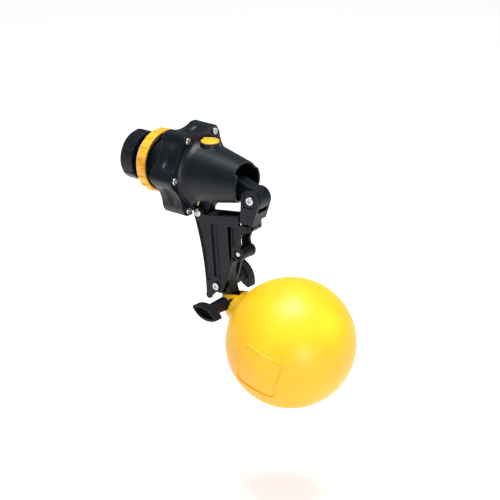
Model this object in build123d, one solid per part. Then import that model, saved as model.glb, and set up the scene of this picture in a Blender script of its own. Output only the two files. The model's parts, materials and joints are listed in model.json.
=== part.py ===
from build123d import *
import os
from math import asin, cos, degrees, hypot, radians, sin, tan

# Float-operated tank fill valve, millimetres.
# +X runs along the valve from the inlet to the outlet, +Z is up, and the origin is the centre of
# the seal washer's face that meets the tank wall. The linkage lies in planes of constant Y.

# ---------------------------------------------------------------- inlet side
THREAD_R = 20.95
THREAD_ROOT_R = 19.5
THREAD_PITCH = 2.309
BORE_R = 16.0
TAIL_START_X = -30.0
TAIL_END_X = 10.8
HUB_R = 24.0
CLAMP_FLANGE_R = 32.5
CLAMP_FLANGE_X = 7.3
WASHER_T = 3.0
WASHER_R = 31.0
WASHER_HOLE_R = 21.2
NUT_START_X = -28.0
NUT_END_X = -8.3
NUT_CORNER_R = 30.2
NUT_FACE_BULGE_R = 29.0
NUT_BORE_R = 21.3
RING_START_X = 4.0
RING_END_X = 16.5
RING_R = 36.2
RING_LUG_R = 37.6
RING_LUGS = 18
NECK_THREAD_R = 33.0
NECK_R = 27.0

# ---------------------------------------------------------------- valve body
SEAM_X = 69.0
HOUSING_BACK_X = 39.5
HOUSING_FLANGE_T = 3.6
SHROUD_FLANGE_T = 2.6
SCREWS = 6
SCREW_CIRCLE_R = 48.0
LOBE_R = 7.0
SCREW_HEAD_R = 4.0
SCREW_SHANK_R = 1.95
SCREW_HOLE_R = 2.05
SCREW_END_X = 50.0
SEAT_X = 50.0
SEAT_R = 15.0
CHAMBER_R = 38.0
GASKET_OUTER_R = 41.5
COVER_BORE_R = 20.0
COVER_R = 23.5
COVER_FLANGE_X = 65.5
COVER_END_X = 90.0
PISTON_R = 19.95
PISTON_END_X = 77.0
PISTON_TRAVEL = 9.0

# ---------------------------------------------------------------- outlet shroud
CONE_X = (80.0, 139.0)
CONE_R = (35.8, 23.3)
CONE_WALL = 3.0
PLUG_X = 85.0
PLUG_BOSS_R = 12.0
PLUG_BOSS_TOP_Z = 36.8
PLUG_HEAD_R = 10.6
PLUG_STEM_R = 7.6
BLEED_XYZ = (82.0, -17.6, -30.2)

# ---------------------------------------------------------------- linkage, pivots as (x, z)
ROCKER_PIVOT = (75.9, -46.6)
LINK_PIVOT = (147.6, -50.2)
KNUCKLE_PIVOT = (150.9, -15.9)
PILOT_PIVOT = (98.0, -6.0)
ARM_PIVOT = (133.9, -84.4)
CLAMP_POINT = (102.7, -131.3)
FLOAT_POINT = (115.3, -149.2)
FLOAT_CENTRE = (201.7, -179.0)

CHEEK_IN_Y = 7.7
CHEEK_OUT_Y = 11.4
INNER_Y = 7.2
RUNNING_GAP = 0.05
PIVOT_PIN_R = 3.0
OPEN_PIN_R = 1.6
OPEN_PIN_GAP = 0.35
BAR_HALF_W = 8.15
EAR_IN_Y = 8.45
EAR_OUT_Y = 11.7
LINK_FAR_Y = 4.3
KNUCKLE_R = 13.2
BAR_SLOPE = 17.0
PILOT_PIN_R = 2.0
KNUCKLE_PIN_R = 2.5
PLUNGER_Z = 3.2
PLUNGER_TRAVEL = 3.2
NOSE_LENGTH = 9.0
NOSE_ANGLE = 79.5
NOSE_HALF_W = 2.4
NOSE_GAP = 0.5
ARM_SWING = 8.0
CLAMP_BOLT_R = 2.9
FORK_IN_Y = 7.6
FORK_OUT_Y = 12.2
FLOAT_R = 75.0
FLOAT_WALL = 1.8
KNOB_LONG = 37.4
KNOB_WIDE = 16.4
KNOB_T = 11.0
HUB_END_R = 8.2

os.makedirs("parts", exist_ok=True)


# ---------------------------------------------------------------- shape helpers
def rod_x(x0, x1, r, y=0.0, z=0.0):
    return Pos((x0 + x1) / 2, y, z) * Rot(0, 90, 0) * Cylinder(r, x1 - x0)


def rod_y(y0, y1, r, at):
    return Pos(at[0], (y0 + y1) / 2, at[1]) * Rot(90, 0, 0) * Cylinder(r, y1 - y0)


def rod_z(z0, z1, r, x=0.0, y=0.0):
    return Pos(x, y, (z0 + z1) / 2) * Cylinder(r, z1 - z0)


def block(x, y, z):
    size = [b - a for a, b in (x, y, z)]
    return Pos(*[(a + b) / 2 for a, b in (x, y, z)]) * Box(*size)


def turned_x(*points):
    """A solid turned about the valve axis from (x, radius) points."""
    return revolve(Polygon(*points, align=None), Axis.X)


def ring_x(x0, x1, r_in, r_out):
    return turned_x((x0, r_in), (x1, r_in), (x1, r_out), (x0, r_out))


def slab(sketch, y0, y1):
    """A sketch drawn in (x, z), made solid between two values of y."""
    plane = Plane(origin=(0, y1, 0), x_dir=(1, 0, 0), z_dir=(0, -1, 0))
    solid = Part()
    for face in (plane * sketch).faces():
        solid += extrude(face, amount=y1 - y0, dir=(0, -1, 0))
    return solid


def across_x(sketch, x0, x1):
    """A sketch drawn in (y, z), made solid between two values of x."""
    plane = Plane(origin=(x0, 0, 0), x_dir=(0, 1, 0), z_dir=(1, 0, 0))
    return extrude(plane * sketch, amount=x1 - x0, dir=(1, 0, 0))


def disc(at, r):
    return Pos(at[0], at[1]) * Circle(r)


def bar_between(a, b, half_w):
    """A straight flat bar from point a to point b, in the plane of the linkage."""
    length = hypot(b[0] - a[0], b[1] - a[1])
    nx, nz = -(b[1] - a[1]) / length * half_w, (b[0] - a[0]) / length * half_w
    corners = [(a[0] + nx, a[1] + nz), (b[0] + nx, b[1] + nz), (b[0] - nx, b[1] - nz),
               (a[0] - nx, a[1] - nz)]
    return Polygon(*corners, align=None)


def point_at(centre, angle, r):
    return centre[0] + r * cos(radians(angle)), centre[1] + r * sin(radians(angle))


def outline(*edges):
    """A face inside a closed run of edges in (x, z)."""
    face = make_face(Curve() + list(edges)).face()
    return Sketch() + (face if face.normal_at().Z > 0 else -face)


def mirrored_in_y(solid):
    return mirror(solid, about=Plane.XZ)


def save(node, solid):
    solid.label = node
    export_step(solid, f"parts/{node}.step")


# ---------------------------------------------------------------- inlet side
def thread_rings(x0, x1, root_r, crest_r):
    """The thread's crests, as rings on the root cylinder."""
    rings = Part()
    count = int((x1 - x0) / THREAD_PITCH)
    half = THREAD_PITCH * 0.42
    for i in range(count):
        x = x0 + (i + 0.5) * THREAD_PITCH
        rings += turned_x((x - half, root_r - 0.3), (x + half, root_r - 0.3), (x + half, root_r),
                          (x + 0.25, crest_r), (x - 0.25, crest_r), (x - half, root_r))
    return rings


def inlet_tail():
    """Threaded tail through the tank wall, with the flange that the union ring pulls on."""
    tail = turned_x(
        (TAIL_START_X, BORE_R), (TAIL_END_X, BORE_R), (TAIL_END_X, CLAMP_FLANGE_R),
        (CLAMP_FLANGE_X, CLAMP_FLANGE_R), (CLAMP_FLANGE_X, HUB_R), (WASHER_T, HUB_R),
        (WASHER_T, THREAD_ROOT_R), (TAIL_START_X + 1, THREAD_ROOT_R), (TAIL_START_X, THREAD_ROOT_R - 1),
    )
    tail += ring_x(-1.0, WASHER_T, THREAD_ROOT_R - 0.3, THREAD_R)
    return tail + thread_rings(TAIL_START_X + 1, -1.2, THREAD_ROOT_R, THREAD_R)


def backnut():
    """Six-sided nut with bulged faces and a rounded outer end."""
    corners = [point_at((0, 0), 90 + 60 * i, NUT_CORNER_R) for i in range(7)]
    middles = [point_at((0, 0), 120 + 60 * i, NUT_FACE_BULGE_R) for i in range(6)]
    faces = [ThreePointArc(corners[i], middles[i], corners[i + 1]) for i in range(6)]
    ridges = Sketch() + [disc(point_at((0, 0), 90 + 60 * i, NUT_CORNER_R - 1.2), 1.9) for i in range(6)]
    nut = across_x(make_face(Curve() + faces) + ridges, NUT_START_X, NUT_END_X)
    nut &= turned_x((NUT_START_X, 0), (NUT_START_X, 26.4), (NUT_START_X + 1.2, 28.0),
                    (NUT_START_X + 4.0, 29.9), (NUT_START_X + 7.0, 32), (NUT_END_X - 1.6, 32),
                    (NUT_END_X, 29.4), (NUT_END_X, 0))
    return nut - rod_x(NUT_START_X - 1, NUT_END_X + 1, NUT_BORE_R)


def tank_seal_washer():
    return ring_x(0, WASHER_T, WASHER_HOLE_R, WASHER_R)


def union_ring():
    """Thin ring nut, with grip lugs around it, that joins the tail to the body."""
    ring = turned_x(
        (RING_START_X, HUB_R + 0.4), (RING_START_X, RING_R - 1.2), (RING_START_X + 1.2, RING_R),
        (RING_END_X - 0.8, RING_R), (RING_END_X, RING_R - 0.8), (RING_END_X, NECK_THREAD_R + 0.4),
        (CLAMP_FLANGE_X - 0.1, NECK_THREAD_R + 0.4), (CLAMP_FLANGE_X - 0.1, HUB_R + 0.4),
    )
    for i in range(RING_LUGS):
        y, z = point_at((0, 0), 360 / RING_LUGS * i, RING_R - 0.6)
        ring += rod_x(RING_START_X + 2.0, RING_END_X - 1.6, RING_LUG_R - RING_R + 0.6, y, z)
    return ring


def tail_o_ring():
    return Pos(TAIL_END_X + 1.45, 0, 0) * Rot(0, 90, 0) * Torus(28.0, 1.4)


def inlet_strainer():
    """Slotted basket that keeps grit out of the seat."""
    basket = ring_x(12.0, 44.0, 13.6, 14.8) + ring_x(TAIL_END_X + 0.05, 12.3, 13.6, 17.6)
    basket += rod_x(43.0, 44.2, 14.8)
    for i in range(6):
        y, z = point_at((0, 0), 30 + 60 * i, 14.2)
        basket -= Pos(28, y, z) * Rot(30 + 60 * i, 0, 0) * Box(26, 6, 4)
    return basket


def hexagon_with_lobes():
    """The body's six-cornered outline, its corners round about the screws."""
    corner_r = (SCREW_CIRCLE_R * cos(radians(30)) + LOBE_R) / cos(radians(30))
    return fillet(RegularPolygon(corner_r, 6).vertices(), LOBE_R)


def scooped(face, middle_r, scoop_r):
    """The outline with a round scoop between each two corners, down to middle_r."""
    for i in range(6):
        face -= Pos(*point_at((0, 0), 30 + 60 * i, middle_r + scoop_r)) * Circle(scoop_r)
    return face


def screw_places():
    return [point_at((0, 0), 60 * i, SCREW_CIRCLE_R) for i in range(SCREWS)]


def boss_relief():
    """Room in the flanges for the rocker's two pivot bosses."""
    near = rod_y(-16, -INNER_Y, 8.0, ROCKER_PIVOT)
    return near + mirrored_in_y(near)


def inlet_housing():
    """Inlet half of the body: threaded neck, main seat, and the lobed block that takes the screws."""
    block_x = SEAM_X - HOUSING_FLANGE_T
    body = across_x(scooped(hexagon_with_lobes(), 44.4, 41.0), HOUSING_BACK_X, block_x)
    body = chamfer(body.edges().group_by(Axis.X)[0], 2.0)
    leaf = turned_x((-8, 0), (-8, 18.5), (-5, 22.4), (-1.5, 24.0), (2, 23.6), (5, 21.6), (7.5, 18.0),
                    (7.5, 0))
    for i in range(6):
        y, z = point_at((0, 0), 30 + 60 * i, 65.6)
        body -= Pos(block_x - 9.0, y, z) * leaf
    body += across_x(scooped(hexagon_with_lobes(), 45.0, 41.0), block_x, SEAM_X)
    back_x = HOUSING_BACK_X
    body += turned_x((17, 0), (17, NECK_R), (back_x - 5, NECK_R), (back_x + 1, 36), (back_x + 1, 0))
    body += rod_x(TAIL_END_X, 17.2, NECK_THREAD_R - 0.8)
    body += thread_rings(TAIL_END_X + 0.4, 17.0, NECK_THREAD_R - 0.8, NECK_THREAD_R)
    body -= rod_x(TAIL_END_X - 1, SEAT_X + 1, BORE_R)
    body -= rod_x(TAIL_END_X - 1, 12.4, 17.8)
    body -= ring_x(TAIL_END_X - 1, TAIL_END_X + 2.9, 26.5, 29.5)
    chamber = turned_x((SEAT_X - 5, 21), (SEAM_X + 1, 21), (SEAM_X + 1, CHAMBER_R), (SEAT_X, CHAMBER_R),
                       (SEAT_X - 5, 33))
    body -= chamber + rod_x(SEAT_X, SEAM_X + 1, 22)
    body -= rod_x(COVER_FLANGE_X, SEAM_X + 1, CHAMBER_R + 0.1)
    body -= ring_x(SEAM_X - 1.5, SEAM_X + 1, CHAMBER_R - 1, GASKET_OUTER_R)
    for y, z in screw_places():
        body -= rod_x(SCREW_END_X - 1, SEAM_X + 1, SCREW_HOLE_R, y, z)
    return body - boss_relief()


def cover_gasket():
    return ring_x(SEAM_X - 1.5, SEAM_X, CHAMBER_R + 0.2, GASKET_OUTER_R - 0.05)


def piston_seal():
    """Rubber disc on the piston's nose, which closes on the seat."""
    return rod_x(SEAT_X, SEAT_X + 3, SEAT_R + 3.5) - rod_x(SEAT_X - 1, SEAT_X + 4, 2.05)


def main_piston():
    """Piston that closes the seat; its rear pocket takes the spring."""
    body = rod_x(SEAT_X + 3, PISTON_END_X, PISTON_R) - rod_x(SEAT_X + 12, PISTON_END_X + 1, 15.5)
    body -= ring_x(70.0, 73.0, PISTON_R - 2.5, PISTON_R + 1)
    return body - rod_x(SEAT_X, PISTON_END_X, 1.2)


def piston_o_ring():
    return ring_x(70.2, 72.8, PISTON_R - 2.5, PISTON_R - 0.02)


def piston_spring():
    """Light return spring behind the piston."""
    start, stop, turns = SEAT_X + 12.9, COVER_END_X - 4.9, 6
    height = stop - start
    helix = Helix(height / turns, height, 12.5, center=(start, 0, 0), direction=(1, 0, 0))
    return sweep(Plane(helix @ 0, z_dir=helix % 0) * Circle(0.8), path=helix, is_frenet=True)


def chamber_cover():
    """Cup that the piston slides in, with ears for the pilot lever and a guide for its plunger."""
    cup = rod_x(COVER_FLANGE_X, COVER_END_X, COVER_R)
    cup -= rod_x(COVER_FLANGE_X - 1, COVER_END_X - 4, COVER_BORE_R)
    rim = ring_x(COVER_FLANGE_X, SEAM_X, COVER_R - 1, CHAMBER_R)
    for i in range(8):
        y, z = point_at((0, 0), 22.5 + 45 * i, 30.5)
        rim -= rod_x(COVER_FLANGE_X - 1, SEAM_X + 1, 5.4, y, z)
    cup += rim
    for side in (-1, 1):
        y = sorted((side * (BAR_HALF_W + 0.35), side * (BAR_HALF_W + 3.2)))
        cup += block((COVER_END_X - 1, PILOT_PIVOT[0]), y, (PILOT_PIVOT[1] - 5, PILOT_PIVOT[1] + 5))
        cup += rod_y(*y, 5.0, PILOT_PIVOT)
    cup -= rod_y(-13, 13, PILOT_PIN_R + 0.02, PILOT_PIVOT)
    return cup - rod_x(COVER_END_X - 5, COVER_END_X + 1, 3.05, 0, PLUNGER_Z)


def pilot_seal():
    """Soft disc with a pin hole, which the plunger closes."""
    seal = rod_x(COVER_END_X - 5.4, COVER_END_X - 4.0, 4.0, 0, PLUNGER_Z)
    return seal - rod_x(COVER_END_X - 6, COVER_END_X, 0.8, 0, PLUNGER_Z)


def flange_screws():
    """Six pan-head screws with cross recesses."""
    head_x = SEAM_X + SHROUD_FLANGE_T
    screws = []
    for y, z in screw_places():
        screw = rod_x(SCREW_END_X, head_x + 1, SCREW_SHANK_R, y, z)
        head = Pos(head_x + 1.2, y, z) * Rot(0, 90, 0) * Cylinder(SCREW_HEAD_R, 2.4)
        head = fillet(head.edges().group_by(Axis.X)[-1], 1.1)
        head -= block((head_x + 1.2, head_x + 3), (y - 0.5, y + 0.5), (z - 2, z + 2))
        head -= block((head_x + 1.2, head_x + 3), (y - 2, y + 2), (z - 0.5, z + 0.5))
        screws.append(screw + head)
    return Compound(children=screws)


# ---------------------------------------------------------------- outlet side
def cone_radius(x):
    slope = (CONE_R[1] - CONE_R[0]) / (CONE_X[1] - CONE_X[0])
    return CONE_R[0] + slope * (x - CONE_X[0])


def outlet_shroud():
    """Outlet half of the body: a cone open at its end, with the plug's boss and the rocker's bracket."""
    flange_x = SEAM_X + SHROUD_FLANGE_T
    body = across_x(scooped(hexagon_with_lobes(), 45.0, 41.0), SEAM_X, flange_x)
    outer = turned_x((SEAM_X, 0), (SEAM_X, 44), (flange_x + 0.6, 41.5), (flange_x + 2.6, 38.8),
                     (CONE_X[0], CONE_R[0]), (CONE_X[1], CONE_R[1]), (CONE_X[1], 0))
    body += outer
    body += rod_z(20, PLUG_BOSS_TOP_Z, PLUG_BOSS_R, PLUG_X)
    body -= rod_z(PLUG_BOSS_TOP_Z, 60, PLUG_BOSS_R + 0.3, PLUG_X)
    lug = Polygon((71, -30), (96, -28), (84, -47), (ROCKER_PIVOT[0] + 7, ROCKER_PIVOT[1]),
                  (ROCKER_PIVOT[0] - 5.4, ROCKER_PIVOT[1]), (SEAM_X + 0.2, -41), align=None)
    body += slab(lug + disc(ROCKER_PIVOT, 6.6), -INNER_Y, INNER_Y)
    body -= boss_relief()
    body -= turned_x((SEAM_X - 1, 0), (SEAM_X - 1, 36.0), (CONE_X[0] - 2, CONE_R[0] - CONE_WALL - 0.4),
                     (CONE_X[0] + 2, cone_radius(CONE_X[0] + 2) - CONE_WALL),
                     (CONE_X[1] + 1, CONE_R[1] - CONE_WALL), (CONE_X[1] + 1, 0))
    mouth_x = CONE_X[1] + 0.2
    end_cut = Polygon((134, 40), (134, 14.5), (138.6, 12.5), (mouth_x, 12), (mouth_x, -6), (129, -26),
                      (129, -40), (150, -40), (150, 40), align=None)
    body -= slab(end_cut, -40, 40)
    body -= rod_z(20, PLUG_BOSS_TOP_Z + 1, PLUG_STEM_R + 0.3, PLUG_X)
    body -= rod_y(-20, 20, PIVOT_PIN_R + 0.02, ROCKER_PIVOT)
    body -= bleed_pin(0.02)
    for y, z in screw_places():
        body -= rod_x(SEAM_X - 1, flange_x + 1, SCREW_HOLE_R, y, z)
    return body


def bleed_plug():
    """Hand-turned plug on top of the shroud, with a ridge to grip."""
    head_z = PLUG_BOSS_TOP_Z + 0.9
    plug = rod_z(head_z, head_z + 2.6, PLUG_HEAD_R, PLUG_X)
    plug = chamfer(plug.edges().group_by(Axis.Z)[-1], 0.9)
    ridge = Pos(PLUG_X, 0, head_z + 3.0) * Rot(0, 0, 20) * Box(18.4, 3.2, 2.4)
    plug += fillet(ridge.edges().group_by(Axis.Z)[-1], 0.8)
    return plug + rod_z(26, head_z + 0.5, PLUG_STEM_R, PLUG_X)


def plug_seal():
    seal = rod_z(PLUG_BOSS_TOP_Z, PLUG_BOSS_TOP_Z + 0.85, PLUG_BOSS_R - 0.3, PLUG_X)
    return seal - rod_z(20, 50, PLUG_STEM_R + 0.3, PLUG_X)


def bleed_pin(gap=0.0):
    """Small brass pin set square into the shroud's wall."""
    x, y, z = BLEED_XYZ
    turn = degrees(asin(-y / hypot(y, z)))
    return Pos(x, y, z) * Rot(-turn, 0, 0) * Cylinder(1.5 + gap, 9)


# ---------------------------------------------------------------- linkage
def rocker_outline():
    """Side view of the rocker: pivot boss, top bar, long tapering plate and hooked tip."""
    px, pz = LINK_PIVOT
    edges = [
        ThreePointArc((68.6, -49.0), (80.2, -89.3), (87.2, -143.0)),
        ThreePointArc((87.2, -143.0), (89.6, -149.4), (94.2, -148.0)),
        ThreePointArc((94.2, -148.0), (99.5, -141.0), (108.0, -137.6)),
        Line((108.0, -137.6), (113.2, -133.0)),
        Line((113.2, -133.0), (118.4, -119.0)),
        Line((118.4, -119.0), (125.6, -91.0)),
        Line((125.6, -91.0), (136.0, -76.6)),
        Line((136.0, -76.6), (134.8, -70.0)),
        Line((134.8, -70.0), (138.4, -60.4)),
        Line((138.4, -60.4), (150.6, -53.6)),
        Line((150.6, -53.6), (150.6, pz + 3.0)),
        Line((150.6, pz + 3.0), (135.0, -49.2)),
        Line((135.0, -49.2), (133.6, -39.9)),
        Line((133.6, -39.9), (83.2, -47.6)),
        Line((83.2, -47.6), (75.9, -40.2)),
        Line((75.9, -40.2), (68.6, -49.0)),
    ]
    return outline(*edges) + disc(ROCKER_PIVOT, 7.3) + disc(ARM_PIVOT, 8.2)


def rocker_pockets():
    """Recesses in the plate's outer face, which leave its rims and ribs standing."""
    left = Polygon((74.2, -58.0), (91.4, -57.4), (97.2, -123.0), (92.0, -127.0), (88.4, -126.0),
                   (84.2, -93.0), align=None)
    groove = Polygon((94.0, -57.2), (98.6, -56.6), (103.6, -119.0), (99.4, -120.6), align=None)
    middle = Polygon((101.6, -56.2), (117.0, -53.8), (119.8, -94.0), (114.6, -118.0), (106.4, -121.4),
                     align=None)
    right = Polygon((125.0, -53.6), (132.6, -52.6), (131.6, -72.0), (126.4, -78.0), align=None)
    return [left, groove, middle, right]


def rocker_lever():
    """Forked rocker: two cheeks joined by a web, hung from the body and carrying the float arm."""
    cheek = slab(rocker_outline(), -CHEEK_OUT_Y, -CHEEK_IN_Y)
    depths = (1.3, 2.2, 0.9, 1.3)
    for pocket, depth in zip(rocker_pockets(), depths):
        cheek -= slab(pocket, -CHEEK_OUT_Y - 1, -CHEEK_OUT_Y + depth)
    slot = Polygon((119.0, -54.6), (123.6, -53.8), (124.4, -97.4), (122.8, -101.4), align=None)
    cheek -= slab(slot, -CHEEK_OUT_Y - 1, -CHEEK_IN_Y + 1)
    lever = cheek + mirrored_in_y(cheek)
    lever += slab(bar_between((92.0, -53.0), (126.0, -47.6), 3.4), -CHEEK_IN_Y - 0.1, CHEEK_IN_Y + 0.1)
    for side in (-1, 1):
        y = sorted((side * CHEEK_OUT_Y, side * (CHEEK_OUT_Y + 0.8)))
        lever += rod_y(*y, 5.4, CLAMP_POINT)
    lever -= rod_y(-20, 20, PIVOT_PIN_R + RUNNING_GAP, ROCKER_PIVOT)
    lever -= rod_y(-20, 20, OPEN_PIN_R + OPEN_PIN_GAP, LINK_PIVOT)
    lever -= rod_y(-20, 20, CLAMP_BOLT_R + 0.02, ARM_PIVOT)
    lever -= rod_y(-CHEEK_OUT_Y - 1, -CHEEK_OUT_Y + 1.8, 5.6, ARM_PIVOT)
    return lever - rod_y(-20, 20, CLAMP_BOLT_R + RUNNING_GAP, CLAMP_POINT)


def rocker_pivot_pin():
    """Slotted pin that the rocker hangs on, peened over a washer on its far end."""
    head_y = -CHEEK_OUT_Y - 0.3
    pin = rod_y(head_y, CHEEK_OUT_Y + 1.4, PIVOT_PIN_R, ROCKER_PIVOT)
    head = rod_y(head_y - 2.4, head_y, 4.8, ROCKER_PIVOT)
    head = fillet(head.edges().group_by(Axis.Y)[0], 1.2)
    x, z = ROCKER_PIVOT
    head -= block((x - 0.7, x + 0.7), (head_y - 3, head_y - 1.3), (z - 4.9, z + 4.9))
    return pin + head + rod_y(CHEEK_OUT_Y + 0.3, CHEEK_OUT_Y + 2.4, 5.2, ROCKER_PIVOT)


def connecting_link():
    """Link between the rocker and the pilot lever, forked over the pilot lever's knuckle."""
    kx, kz = KNUCKLE_PIVOT
    px, pz = LINK_PIVOT
    left_x, right_x, foot_z = kx - KNUCKLE_R + 0.4, kx + 4.6, pz + 4.0
    side = Polygon((left_x, kz), (left_x - 1.4, foot_z + 1.2), (left_x + 0.6, foot_z),
                   (right_x - 0.6, foot_z), (right_x + 0.8, foot_z + 6), (kx + KNUCKLE_R - 1.6, kz - 6),
                   (kx + KNUCKLE_R - 0.4, kz), align=None)
    ear = side + disc(KNUCKLE_PIVOT, KNUCKLE_R - 0.4)
    below = Polygon((left_x - 4, kz - KNUCKLE_R - 0.9), (kx + 20, kz - KNUCKLE_R - 0.9), (kx + 20, pz - 20),
                    (left_x - 4, pz - 20), align=None)
    foot = disc(LINK_PIVOT, 5.0) + bar_between(LINK_PIVOT, (px - 0.4, foot_z + 3), 5.0)
    link = slab(ear, -EAR_OUT_Y, -EAR_IN_Y)
    link += slab(side & below, -EAR_OUT_Y, LINK_FAR_Y)
    link += slab(foot, -INNER_Y, LINK_FAR_Y)
    link += slab((ear & below) - disc(LINK_PIVOT, 13.0), -EAR_OUT_Y, EAR_OUT_Y)
    link += slab(ear - below, EAR_IN_Y, EAR_OUT_Y)
    link -= slab(disc(LINK_PIVOT, 4.9), -EAR_OUT_Y - 1, -INNER_Y)
    pocket = disc(KNUCKLE_PIVOT, 9.6) + Polygon((left_x + 3.2, kz), (left_x + 3.0, kz - 9.6),
                                                (kx + 3.6, kz - 9.6), (kx + 8.6, kz - 4), align=None)
    link -= slab(pocket, -EAR_OUT_Y - 1, -EAR_OUT_Y + 1.2)
    link -= rod_y(-20, 20, OPEN_PIN_R + 0.02, LINK_PIVOT)
    return link - rod_y(-20, 20, KNUCKLE_PIN_R + 0.02, KNUCKLE_PIVOT)


def link_lower_pin():
    return rod_y(-CHEEK_OUT_Y + 0.6, CHEEK_OUT_Y - 0.4, OPEN_PIN_R, LINK_PIVOT)


def link_upper_screw():
    """Cross-recess screw through the knuckle."""
    base_y = -EAR_OUT_Y + 1.2
    screw = rod_y(base_y - 0.5, EAR_OUT_Y + 1.0, KNUCKLE_PIN_R, KNUCKLE_PIVOT)
    head = rod_y(base_y - 2.6, base_y, 5.1, KNUCKLE_PIVOT)
    head = fillet(head.edges().group_by(Axis.Y)[0], 1.2)
    x, z = KNUCKLE_PIVOT
    head -= block((x - 0.6, x + 0.6), (base_y - 3, base_y - 1.3), (z - 2.6, z + 2.6))
    head -= block((x - 2.6, x + 2.6), (base_y - 3, base_y - 1.3), (z - 0.6, z + 0.6))
    return screw + head


def link_upper_nut():
    nut = slab(Pos(*KNUCKLE_PIVOT) * RegularPolygon(4.6, 6), EAR_OUT_Y, EAR_OUT_Y + 3.0)
    return nut - rod_y(0, 30, KNUCKLE_PIN_R + 0.02, KNUCKLE_PIVOT)


def pilot_lever():
    """Lever from the knuckle into the shroud, with the nose that pushes the pilot plunger."""
    kx, kz = KNUCKLE_PIVOT
    qx, qz = PILOT_PIVOT
    top_x, top_z = point_at(KNUCKLE_PIVOT, 90 - BAR_SLOPE, KNUCKLE_R)
    shoulder_x = 122.0
    shoulder_z = top_z + (top_x - shoulder_x) * tan(radians(BAR_SLOPE))
    bar = Polygon((qx + 3, qz + 4.2), (shoulder_x - 6, shoulder_z - 3), (shoulder_x, shoulder_z),
                  (top_x, top_z),
                  (kx - 2, kz - 7), (shoulder_x - 4, shoulder_z - 15), (qx, qz - 5.2), align=None)
    bar += disc(PILOT_PIVOT, 5.2)
    lever = slab(bar + disc(KNUCKLE_PIVOT, KNUCKLE_R), -BAR_HALF_W, BAR_HALF_W)
    notch = (kx + 7.4, kz + 9.6)
    lever -= rod_y(BAR_HALF_W - 3.0, BAR_HALF_W + 1, 1.3, notch)
    tip = point_at(PILOT_PIVOT, NOSE_ANGLE, NOSE_LENGTH)
    lever += slab(bar_between(PILOT_PIVOT, tip, NOSE_HALF_W) + disc(tip, NOSE_HALF_W), -3.5, 3.5)
    lever -= rod_y(-20, 20, PILOT_PIN_R + RUNNING_GAP, PILOT_PIVOT)
    return lever - rod_y(-20, 20, KNUCKLE_PIN_R + RUNNING_GAP, KNUCKLE_PIVOT)


def pilot_pivot_pin():
    return rod_y(-BAR_HALF_W - 3.2, BAR_HALF_W + 3.2, PILOT_PIN_R, PILOT_PIVOT)


def pilot_plunger():
    """Plunger that the pilot lever's nose pushes onto the pilot seal."""
    nose_x = point_at(PILOT_PIVOT, NOSE_ANGLE, NOSE_LENGTH)[0] - NOSE_HALF_W - NOSE_GAP
    return rod_x(COVER_END_X - 3.9 + PLUNGER_TRAVEL, nose_x, 3.0, 0, PLUNGER_Z)


def clamp_reach():
    """The clamp bolt's distance from the arm's pivot, and its direction in degrees."""
    reach = hypot(CLAMP_POINT[0] - ARM_PIVOT[0], CLAMP_POINT[1] - ARM_PIVOT[1])
    return reach, -180 - degrees(asin((CLAMP_POINT[1] - ARM_PIVOT[1]) / reach))


def arm_outline():
    """Side view of the float arm: hub, blade, the quadrant with its arc slot, and the float's eye."""
    cx, cz = ARM_PIVOT
    reach, middle = clamp_reach()
    outer = reach + 6.4
    first, last = middle - ARM_SWING - 6.4, middle + ARM_SWING + 6.4
    quadrant = outline(
        Line((cx - 6, cz - 4), point_at(ARM_PIVOT, first, outer)),
        ThreePointArc(*[point_at(ARM_PIVOT, a, outer) for a in (first, middle, last)]),
        Line(point_at(ARM_PIVOT, last, outer), (121.4, -137.5)),
        ThreePointArc((121.4, -137.5), (117.7, -122.0), (122.4, -98.0)),
        Line((122.4, -98.0), (cx + 3.0, cz - 7.2)),
        Line((cx + 3.0, cz - 7.2), (cx - 6, cz - 4)),
    )
    leg = Polygon((106.6, -137.0), (121.4, -137.5), (122.6, -149.2), (107.9, -149.2), align=None)
    return disc(ARM_PIVOT, 7.9) + quadrant + leg + disc(FLOAT_POINT, 7.4)


def arc_slot():
    """The slot that the clamp bolt runs in as the arm is set."""
    reach, middle = clamp_reach()
    inner, outer = reach - CLAMP_BOLT_R - 0.3, reach + CLAMP_BOLT_R + 0.3
    first, last = middle - ARM_SWING - 0.4, middle + ARM_SWING + 0.4
    slot = outline(
        ThreePointArc(*[point_at(ARM_PIVOT, a, inner) for a in (first, middle, last)]),
        Line(point_at(ARM_PIVOT, last, inner), point_at(ARM_PIVOT, last, outer)),
        ThreePointArc(*[point_at(ARM_PIVOT, a, outer) for a in (last, middle, first)]),
        Line(point_at(ARM_PIVOT, first, outer), point_at(ARM_PIVOT, first, inner)),
    )
    for end in (first, last):
        slot += disc(point_at(ARM_PIVOT, end, reach), CLAMP_BOLT_R + 0.3)
    return slot


def float_arm():
    """Arm that sets the float's height: pivoted at its hub and clamped through its arc slot."""
    arm = slab(arm_outline() - arc_slot(), -INNER_Y, INNER_Y)
    arm -= rod_y(-20, 20, CLAMP_BOLT_R + RUNNING_GAP, ARM_PIVOT)
    return arm - rod_y(-20, 20, CLAMP_BOLT_R + 0.02, FLOAT_POINT)


def arm_pivot_bolt():
    """Bolt through the arm's hub, its rounded end standing in the rocker's recess."""
    bolt = rod_y(-CHEEK_OUT_Y - 0.4, CHEEK_OUT_Y + 3.6, CLAMP_BOLT_R, ARM_PIVOT)
    return fillet(bolt.edges().group_by(Axis.Y)[0], 0.9)


def arm_pivot_nut():
    nut = slab(Pos(*ARM_PIVOT) * RegularPolygon(5.8, 6), CHEEK_OUT_Y, CHEEK_OUT_Y + 3.6)
    return nut - rod_y(0, 30, CLAMP_BOLT_R + 0.02, ARM_PIVOT)


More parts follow.
